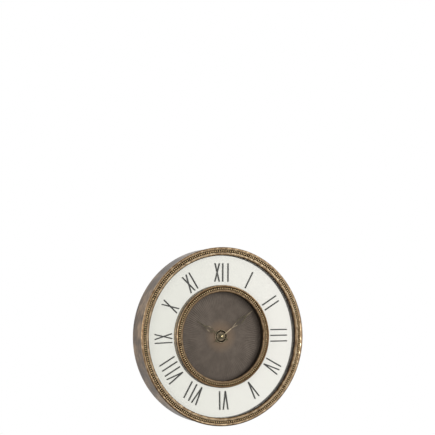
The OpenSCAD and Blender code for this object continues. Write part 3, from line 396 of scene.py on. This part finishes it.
def beaded_brass(name, floor_z):
    """Stamped brass beads: the eye sees bright crowns and, where they meet, dark wax and painted
    shade.
    """
    finish, tree, place = new_finish(name)
    parts = add(tree, "SeparateXYZ", links={0: place})
    # A surface that leans along the row faces the gap to the next bead, which holds wax and gets
    # painted shade.
    back = add(tree, "Math", {"operation": "MULTIPLY", 1: -1.0}, {0: parts.outputs[2]})
    row = add(tree, "CombineXYZ", links={0: back, 2: parts.outputs[0]})
    along = add(tree, "VectorMath", {"operation": "NORMALIZE"}, {0: row})
    lean = add(tree, "VectorMath", {"operation": "DOT_PRODUCT"},
               {0: add(tree, "TexCoord").outputs["Normal"], 1: along})
    gap = add(tree, "Math", {"operation": "ABSOLUTE"}, {0: lean.outputs["Value"]})
    # The strip between the beads lies low and gets wax and painted shade too.
    foot = floor_z + BEAD_STRIP_T
    low = add(tree, "MapRange", {
        "From Min": -(foot + 0.25 * BEAD_R) * MM, "From Max": -(foot + 0.7 * BEAD_R) * MM,
        "To Min": 0.9, "To Max": 0.0}, {0: parts.outputs[1]})
    hollow = add(tree, "Math", {"operation": "MAXIMUM"}, {0: gap, 1: low})
    # Wax wears off unevenly, in patches of about the size of a bead.
    clouds = add(tree, "TexNoise", {"Scale": per_mm(6), **SOFT}, {"Vector": place})
    worn = add(tree, "Math", {"operation": "MULTIPLY_ADD", 1: -0.8}, {0: clouds, 2: hollow})
    wax_and_shade = add(tree, "Math", {"operation": "ADD", 1: 0.45}, {0: worn})
    colour = add(tree, "ValToRGB", {"stops": BEAD_SHADES}, {0: wax_and_shade})
    sheen = add(tree, "MapRange", {"To Min": 0.5, "To Max": 0.34}, {0: clouds})
    dents = add(tree, "TexNoise", {"Scale": per_mm(1.2), **SOFT}, {"Vector": place})
    relief = add(tree, "Bump", {"Strength": 1.0, "Distance": 0.12 * MM}, {"Height": dents})
    return surfaced(finish, {"Metallic": 0.9}, {"Base Color": colour, "Roughness": sheen,
                                                "Normal": relief})


def bronzed_side():
    """Rolled steel under a thin bronze lacquer, brushed round the case.

    The eye sees soft brown clouds of thicker and thinner lacquer under a faint gloss.
    """
    finish, tree, place = new_finish("bronzed_steel_rolled")
    # Brush marks are finer than a millimetre; these are 5 by 30 mm so that they show.
    lines = round_axis(tree, place, along=30, across=5, outward=5)[0]
    brushed = add(tree, "TexNoise", {"Scale": 1.0, **FINE}, {"Vector": lines})
    # The clouds are about as wide as a pass of the spray.
    clouds = add(tree, "TexNoise", {"Scale": per_mm(60), **SOFT}, {"Vector": place})
    mixed = blended(tree, brushed, clouds, share=0.45)
    colour = add(tree, "ValToRGB", {"stops": [
        (0.38, "#35281b"), (0.5, "#57442f"), (0.62, "#886f52")]}, {0: mixed})
    sheen = add(tree, "MapRange", {"To Min": 0.5, "To Max": 0.34}, {0: mixed})
    relief = add(tree, "Bump", {"Strength": 1.0, "Distance": 0.15 * MM}, {"Height": brushed})
    return surfaced(finish, {"Metallic": 0.9, "Coat Weight": 0.28, "Coat Roughness": 0.18},
                    {"Base Color": colour, "Roughness": sheen, "Normal": relief})


def fluted_bronze():
    """Pressed aluminium dial, bronzed, with fine brushing that runs out from the centre.

    The eye sees a dark grey-brown sheen, warmer round the middle.
    """
    finish, tree, place = new_finish("bronzed_aluminium_pressed")
    # The brushing is drawn 1.6 mm wide, coarser than it is, so that it shows.
    rays, radius = round_axis(tree, place, along=1.6, across=40, outward=60)
    brushed = add(tree, "TexNoise", {"Scale": 1.0, **SOFT}, {"Vector": rays})
    clouds = add(tree, "TexNoise", {"Scale": per_mm(30), **FINE}, {"Vector": place})
    mixed = blended(tree, brushed, clouds, share=0.5)
    colour = add(tree, "ValToRGB", {"stops": [
        (0.35, "#4e463e"), (0.5, "#574e46"), (0.65, "#60574e")]}, {0: mixed})
    warm = add(tree, "MapRange", {"From Min": 22 * MM, "From Max": 60 * MM, "To Min": 0.55,
                                  "To Max": 0.0}, {0: radius})
    warmed = add(tree, "Mix", {"data_type": "RGBA", 7: linear("#7e6851")}, {0: warm, 6: colour})
    sheen = add(tree, "MapRange", {"To Min": 0.52, "To Max": 0.45}, {0: mixed})
    relief = add(tree, "Bump", {"Strength": 1.0, "Distance": 0.12 * MM}, {"Height": brushed})
    return surfaced(finish, {"Metallic": 0.7}, {
        "Base Color": warmed.outputs[2], "Roughness": sheen, "Normal": relief})


def silvered():
    """Silver deposited on the back of the glass: almost sharp, with painted shade that makes it
    greyer towards the nine.
    """
    finish, tree, place = new_finish("silver_deposited")
    # Silver settles unevenly over about a hand's breadth, 120 mm.
    clouds = add(tree, "TexNoise", {"Scale": per_mm(120), **SOFT}, {"Vector": place})
    across = add(tree, "SeparateXYZ", links={0: place})
    painted_shade_across = add(tree, "MapRange", {"From Min": -MIRROR_OUT_R * MM,
                                   "From Max": MIRROR_OUT_R * MM, "To Max": 0.9}, {0: across})
    mixed = add(tree, "Math", {"operation": "MULTIPLY_ADD", 1: 0.1}, {0: clouds, 2: painted_shade_across})
    colour = add(tree, "ValToRGB", {"stops": [(0.05, "#e2e2d9"), (0.95, "#f2f0e9")]}, {0: mixed})
    return surfaced(finish, {"Metallic": 1.0, "Roughness": 0.03}, {"Base Color": colour})


def mirror_glass():
    """Drawn float glass: clear and smooth, with a trace of green.

    The silver is drawn where it seems to lie through the glass, so the glass doesn't bend light.
    """
    finish, tree, place = new_finish("float_glass_drawn")
    clouds = add(tree, "TexNoise", {"Scale": per_mm(200), **SOFT}, {"Vector": place})
    colour = add(tree, "ValToRGB", {"stops": [(0.3, "#f9fbf6"), (0.7, "#fbfcf9")]}, {0: clouds})
    return surfaced(finish, {"IOR": 1.52, "Alpha": 0.05, "Roughness": 0.02},
                    {"Base Color": colour})


def planed_pine():
    """Planed pine: pale and matt, in broad soft bands of grain."""
    finish, tree, place = new_finish("pine_planed")
    grain = add(tree, "TexWave", {"Scale": per_mm(7) / 20, "Distortion": 3.0, "Detail": 2.0,
                                  "bands_direction": "X"}, {"Vector": place})
    colour = add(tree, "ValToRGB", {"stops": [(0.2, "#b88e5c"), (0.8, "#dab989")]}, {0: grain})
    relief = add(tree, "Bump", {"Strength": 1.0, "Distance": 0.1 * MM},
                 {"Height": grain.outputs[1]})
    return surfaced(finish, {"Roughness": 0.6}, {"Base Color": colour, "Normal": relief})


def antique_hand(name, angle, painted_highlight):
    """Stamped brass hand under a greenish antique lacquer, with painted highlight in places.

    painted_highlight gives how much painted highlight it has at each distance in millimetres
    along the hand from its axis.
    """
    finish, tree, place = new_finish(name)
    # The patches are about as wide as the leaf of the hand, and the pits are of the stamping.
    patches = add(tree, "TexNoise", {"Scale": per_mm(5), **FINE}, {"Vector": place})
    colour = add(tree, "ValToRGB", {"stops": [
        (0.35, "#3d3a2f"), (0.55, "#58523f"), (0.72, "#776c54")]}, {0: patches})
    way = math.radians(angle)
    reach = add(tree, "VectorMath",
                {"operation": "DOT_PRODUCT", 1: (math.sin(way), 0, math.cos(way))}, {0: place})
    last = painted_highlight[-1][0]
    share = add(tree, "Math", {"operation": "DIVIDE", 1: last * MM}, {0: reach.outputs["Value"]})
    highlight_amount = add(tree, "ValToRGB", {"stops": [(r / last, shade) for r, shade in painted_highlight]},
                {0: share})
    # The pale colour mixed in here is a painted highlight.
    highlighted = add(tree, "Mix", {"data_type": "RGBA", 7: linear("#d6c2a2")}, {0: highlight_amount, 6: colour})
    sheen = add(tree, "MapRange", {"To Min": 0.42, "To Max": 0.26}, {0: patches})
    pits = add(tree, "TexNoise", {"Scale": per_mm(0.8), **SOFT}, {"Vector": place})
    relief = add(tree, "Bump", {"Strength": 1.0, "Distance": 0.05 * MM}, {"Height": pits})
    return surfaced(finish, {"Metallic": 0.85}, {
        "Base Color": highlighted.outputs[2], "Roughness": sheen, "Normal": relief})


# Finish of each material of the record. A plain finish has its light and dark colour, the size
# of its patches in millimetres, its roughness and the depth of its relief in millimetres.
FINISHES = {
    "bronzed_steel": bronzed_side(),
    "antique_gold_moulding": antique_gold("antique_gold_moulded", OUTER_WAX_AND_SHADE),
    "antique_brass": beaded_brass("antique_brass_stamped", BEZEL_Z),
    "bronzed_aluminium": fluted_bronze(),
    "silvered_mirror": silvered(),
    "pine": planed_pine(),
    "antique_hand": antique_hand("antique_brass_lacquered", MINUTE_ANGLE, MINUTE_PAINTED_HIGHLIGHT),
    # Pressed wood fibres: matt brown, flecked where they clump
    "fibreboard": plain_finish("fibreboard_pressed", "#7a614a", "#624b37", 2.5, 0.8, 0.15),
    # Zinc plate on steel: pale grey and softly shiny, with a spangle of about 3 mm
    "zinc_steel": plain_finish("zinc_plated_steel", "#aeada8", "#908e88", 3, 0.42, 0.04,
                               **METAL),
    # Cast foam: off-white and matt; its cells are under 1 mm and are drawn 1.5 mm to show
    "foam_tape": plain_finish("foam_tape_cast", "#eeeae0", "#dedacf", 1.5, 0.75, 0.08),
    # Cut vinyl numerals: flat charcoal with a low sheen
    "black_vinyl": plain_finish("black_vinyl_cut", "#3b3b37", "#31312d", 6, 0.42, 0.02),
    # Spun copper with a dull brown patina in soft clouds
    "copper": plain_finish("antique_copper_spun", "#978973", "#6f6454", 6, 0.6, 0.04,
                           **METAL),
    # Moulded ABS: charcoal; the grain of its mould is finer and is drawn 0.9 mm to show
    "black_plastic": plain_finish("black_abs_moulded", "#3a3b3d", "#2d2e30", 0.9, 0.45, 0.03),
    # Moulded acetal of the wheels: cream, smooth and slightly waxy
    "cream_plastic": plain_finish("acetal_moulded", "#ece6d4", "#e0d8c2", 4, 0.45, 0.01),
    # Moulded rubber: nearly black and matt, with a faint bloom
    "black_rubber": plain_finish("rubber_moulded", "#242322", "#1b1a19", 2, 0.75, 0.04),
    # Turned brass: pale gold and shiny, faintly uneven from the tool
    "bright_brass": plain_finish("brass_turned", "#eadcb6", "#cdb584", 2.5, 0.22, 0.02,
                                 **METAL),
    # Etched circuit board: green varnish, mottled at about 1.2 mm over its glass weave
    "green_laminate": plain_finish("green_laminate_etched", "#2c6c48", "#235a3b", 1.2, 0.4, 0.03),
    # Nickel plate on steel: bright, a little warm and nearly smooth
    "nickel_can": plain_finish("nickel_plated_steel", "#d2d0ca", "#bbb8b0", 3, 0.28, 0.02,
                               **METAL),
    # Punched soft iron: mid grey and satin
    "soft_iron": plain_finish("soft_iron_punched", "#96999b", "#7c7f81", 2, 0.42, 0.03,
                              **METAL),
    # Wound wire under clear enamel: glossy copper red in flecks of 0.6 mm, as its turns cross
    "enamelled_copper": plain_finish("enamelled_copper_wound", "#b5643a", "#8c4524", 0.6, 0.3,
                                     0.08, **METAL),
    # Sintered magnet: dark grey and grainy
    "magnet": plain_finish("magnet_sintered", "#55585b", "#3f4144", 0.8, 0.55, 0.03, **METAL),
    # Metallised plastic sleeve of the cell, left bare: plain satin grey
    "battery_can": plain_finish("battery_sleeve_printed", "#8d9196", "#7b7f84", 8, 0.35, 0.01,
                                Metallic=0.6),
}
for solid in NODES.values():
    for held in solid.material_slots:
        held.material = FINISHES[held.material.name.split(".")[0]]


# Pieces

channel_in = OUTER_BEAD_R - OUTER_CHANNEL_HALF
roll_mid = CLOCK_R - ROLL_R
groove_in = BAND_R - BAND_T - GROOVE_GAP
groove_out = BAND_R + GROOVE_GAP
groove_top = BEZEL_Z - ROLL_R + GROOVE_RISE
skirt_r = groove_out + SKIRT_T
skirt_z = BEZEL_Z - SKIRT_DROP
outer_outline = (
    [(OUTER_IN_R, MIRROR_Z)]
    + arc((OUTER_IN_R + QUARTER_ROUND_R, QUARTER_ROUND_Z), QUARTER_ROUND_R, 180, 90,
          steps=12)
    + arc((channel_in - OUTER_EDGE_R, QUARTER_ROUND_Z + QUARTER_ROUND_R - OUTER_EDGE_R),
          OUTER_EDGE_R, 90, 0, steps=3)
    + [(channel_in, BEZEL_Z)]
    + arc((roll_mid, BEZEL_Z), ROLL_R, 180, -60, steps=28)
    + [(skirt_r, skirt_z + SKIRT_T), (skirt_r, skirt_z), (groove_out, skirt_z),
       (groove_out, groove_top), (groove_in, groove_top), (groove_in, skirt_z),
       (FOOT_OUT_R, skirt_z), (FOOT_OUT_R, BOARD_Z), (FOOT_IN_R, BOARD_Z),
       (FOOT_IN_R, MIRROR_Z)])
make_piece(turned(outer_outline), "outer_bezel_moulding", FINISHES["antique_gold_moulding"],
           "case", "outer_bezel")
beading(OUTER_BEAD_R, BEZEL_Z, "outer_bead_row", FINISHES["antique_brass"], "outer_beading")

inner_roll_mid = INNER_R - INNER_ROLL_R
inner_channel_in = INNER_BEAD_R - INNER_CHANNEL_HALF
inner_foot_r = INNER_R - INNER_FOOT_STEP
inner_outline = (
    [(WELL_R, DIAL_Z)]
    + arc((WELL_R + LIP_R, LIP_Z - LIP_R), LIP_R, 180, 90, steps=8)
    + arc((inner_channel_in - INNER_EDGE_R, LIP_Z - INNER_EDGE_R), INNER_EDGE_R, 90, 0,
          steps=3)
    + [(inner_channel_in, INNER_FLOOR_Z), (inner_roll_mid - INNER_ROLL_R, INNER_FLOOR_Z)]
    + arc((inner_roll_mid, INNER_ROLL_Z), INNER_ROLL_R, 180, -60, steps=26)
    + [(inner_foot_r, INNER_ROLL_Z - INNER_ROLL_R), (inner_foot_r, MIRROR_Z),
       (inner_channel_in, MIRROR_Z), (inner_channel_in, DIAL_Z)])
make_piece(turned(inner_outline), "inner_bezel_moulding",
           antique_gold("antique_gold_moulded_inner", INNER_WAX_AND_SHADE), "case",
           "inner_bezel")
beading(INNER_BEAD_R, INNER_FLOOR_Z, "inner_bead_row",
        beaded_brass("antique_brass_stamped_inner", INNER_FLOOR_Z), "inner_beading")

silver_outline = [(MIRROR_IN_R, MIRROR_BACK_Z), (MIRROR_OUT_R, MIRROR_BACK_Z),
                  (MIRROR_OUT_R, SILVER_SEEN_Z), (MIRROR_IN_R, SILVER_SEEN_Z)]
make_piece(turned(silver_outline), "mirror_silver", FINISHES["silvered_mirror"], "case",
           "mirror_ring")
glass_back_z = SILVER_SEEN_Z + SILVER_GAP
glass_front_z = MIRROR_Z - NUMERAL_GAP
glass_outline = [(MIRROR_IN_R, glass_back_z), (MIRROR_OUT_R, glass_back_z),
                 (MIRROR_OUT_R, glass_front_z), (MIRROR_IN_R, glass_front_z)]
make_piece(turned(glass_outline), "mirror_glass", mirror_glass(), "case",
           "mirror_ring")

flute_step = (FLUTE_END_R - FLUTE_IN_R) / FLUTE_RINGS
dial_outline = (
    [(DIAL_HOLE_R, DIAL_Z), (DIAL_FLAT_R, DIAL_Z)]
    + [(FLUTE_IN_R + flute_step * i, DIAL_Z) for i in range(FLUTE_RINGS + 1)]
    + [(FLUTE_OUT_R, DIAL_Z), (DIAL_R, DIAL_Z), (DIAL_R, DIAL_SEAT_Z),
       (DIAL_HOLE_R, DIAL_SEAT_Z)])
# The flutes stand on the front of the dial and grow shallower towards its centre.
dial = turned(dial_outline, FLUTES * FLUTE_STEPS)
dial_middle_y = -(DIAL_Z + DIAL_SEAT_Z) / 2 * MM
for point in dial.verts:
    r = math.hypot(point.co.x, point.co.z) / MM
    in_flutes = FLUTE_IN_R - RING_MARGIN < r < FLUTE_END_R + RING_MARGIN
    if in_flutes and point.co.y < dial_middle_y:
        wave = math.cos(math.atan2(point.co.z, point.co.x) * FLUTES)
        point.co.y -= (wave / 2 + 0.5 - FLUTE_LOW) * FLUTE_H * r / FLUTE_OUT_R * MM
make_piece(dial, "fluted_dial", FINISHES["bronzed_aluminium"], "case",
           "dial_plate")

boss_rim_z = DIAL_Z + BOSS_H - BOSS_RIM_R
boss_floor_z = DIAL_Z + BOSS_FLOOR_T
boss_outline = (
    [(DIAL_HOLE_R, DIAL_Z), (BOSS_R, DIAL_Z)]
    + arc((BOSS_R - BOSS_RIM_R, boss_rim_z), BOSS_RIM_R, 0, 180, steps=12)
    + arc((BOSS_R - 2 * BOSS_RIM_R - BOSS_DISH_R, boss_rim_z), BOSS_DISH_R, 0, -80,
          steps=6)
    + arc((BOSS_RING_R, boss_floor_z), BOSS_RING_T, 20, 160, steps=5)
    + [(BOSS_FLAT_R, boss_floor_z), (DIAL_HOLE_R, boss_floor_z)])
make_piece(turned(boss_outline, BOSS_STEPS), "centre_rosette", FINISHES["copper"], "case",
           "dial_boss")

cap_rim_z = CAP_Z + CAP_RIM_H
cap_dome = [math.radians(angle) for angle in range(10, 81, 10)]
cap_outline = (
    [(CAP_HOLE_R, CAP_Z), (CAP_R, CAP_Z), (CAP_R, cap_rim_z)]
    + [(CAP_R * math.cos(angle), cap_rim_z + (CAP_H - CAP_RIM_H) * math.sin(angle))
       for angle in cap_dome]
    + [(CAP_TIP_R, CAP_Z + CAP_H), (CAP_TIP_R, CAP_Z + CAP_HOLE_H),
       (CAP_HOLE_R, CAP_Z + CAP_HOLE_H)])
make_piece(turned(cap_outline, CAP_STEPS), "domed_cap", FINISHES["bright_brass"], "minute_set",
           "cap_nut")

rounded_hand("minute_hand", "minute_hand_stamped", FINISHES["antique_hand"], "minute_set")
rounded_hand("hour_hand", "hour_hand_stamped",
             antique_hand("antique_brass_lacquered_less_highlight", HOUR_ANGLE, HOUR_PAINTED_HIGHLIGHT), "hour_set")


# Studio

scene = bpy.context.scene
scene.view_settings.view_transform = "Standard"

yaw, rise = math.radians(EYE_YAW), math.radians(EYE_RISE)
eye = EYE_DISTANCE * Vector((-math.sin(yaw) * math.cos(rise), -math.cos(yaw) * math.cos(rise),
                             math.sin(rise)))
camera_data = bpy.data.cameras.new("eye")
camera_data.lens = LENS_MM
camera_data.sensor_width = SENSOR_MM
camera = bpy.data.objects.new("eye", camera_data)
scene.collection.objects.link(camera)
aim = (-eye).to_track_quat("-Z", "Y").to_matrix()
turn = Euler([math.radians(angle) for angle in EYE_TURN]).to_matrix()
camera.matrix_world = Matrix.Translation(eye) @ (aim @ turn).to_4x4()
scene.camera = camera

# The surround lights the clock softly, and the eye, metal and glass see it as white.
world = bpy.data.worlds.new("studio")
world.use_nodes = True
tree = world.node_tree
tree.nodes.clear()
ray = add(tree, "LightPath")
seen = add(tree, "Math", {"operation": "MAXIMUM"},
           {0: ray.outputs["Is Camera Ray"], 1: ray.outputs["Is Glossy Ray"]})
seen = add(tree, "Math", {"operation": "MAXIMUM"},
           {0: seen, 1: ray.outputs["Is Transmission Ray"]})
level = add(tree, "MapRange", {"To Min": SURROUND_LEVEL, "To Max": 1.0}, {0: seen})
surround = add(tree, "Background", {"Color": linear("#ffffff")}, {"Strength": level})
add(tree, "OutputWorld", links={"Surface": surround})
scene.world = world

for name, place, width, watts in LAMPS:
    lamp = bpy.data.lights.new(name, "AREA")
    lamp.size = width
    lamp.energy = watts
    holder = bpy.data.objects.new(name, lamp)
    scene.collection.objects.link(holder)
    holder.matrix_world = (Matrix.Translation(place)
                           @ (-Vector(place)).to_track_quat("-Z", "Y").to_matrix().to_4x4())

# Painted floor: pale and matt, in very soft clouds
floor_finish, tree, place = new_finish("pale_floor_painted")
clouds = add(tree, "TexNoise", {"Scale": per_mm(400), **FINE}, {"Vector": place})
pale = add(tree, "ValToRGB", {"stops": [(0.3, "#e9e7e2"), (0.7, "#efede8")]}, {0: clouds})
surfaced(floor_finish, {"Roughness": 0.7}, {"Base Color": pale})
floor_shape = bmesh.new()
bmesh.ops.create_circle(floor_shape, cap_ends=True, segments=FLOOR_STEPS, radius=FLOOR_R)
bmesh.ops.translate(floor_shape, verts=floor_shape.verts, vec=(0, 0, FLOOR_Z))
floor_mesh = bpy.data.meshes.new("floor")
floor_shape.to_mesh(floor_mesh)
floor_shape.free()
floor_mesh.materials.append(floor_finish)
floor = bpy.data.objects.new("floor", floor_mesh)
scene.collection.objects.link(floor)
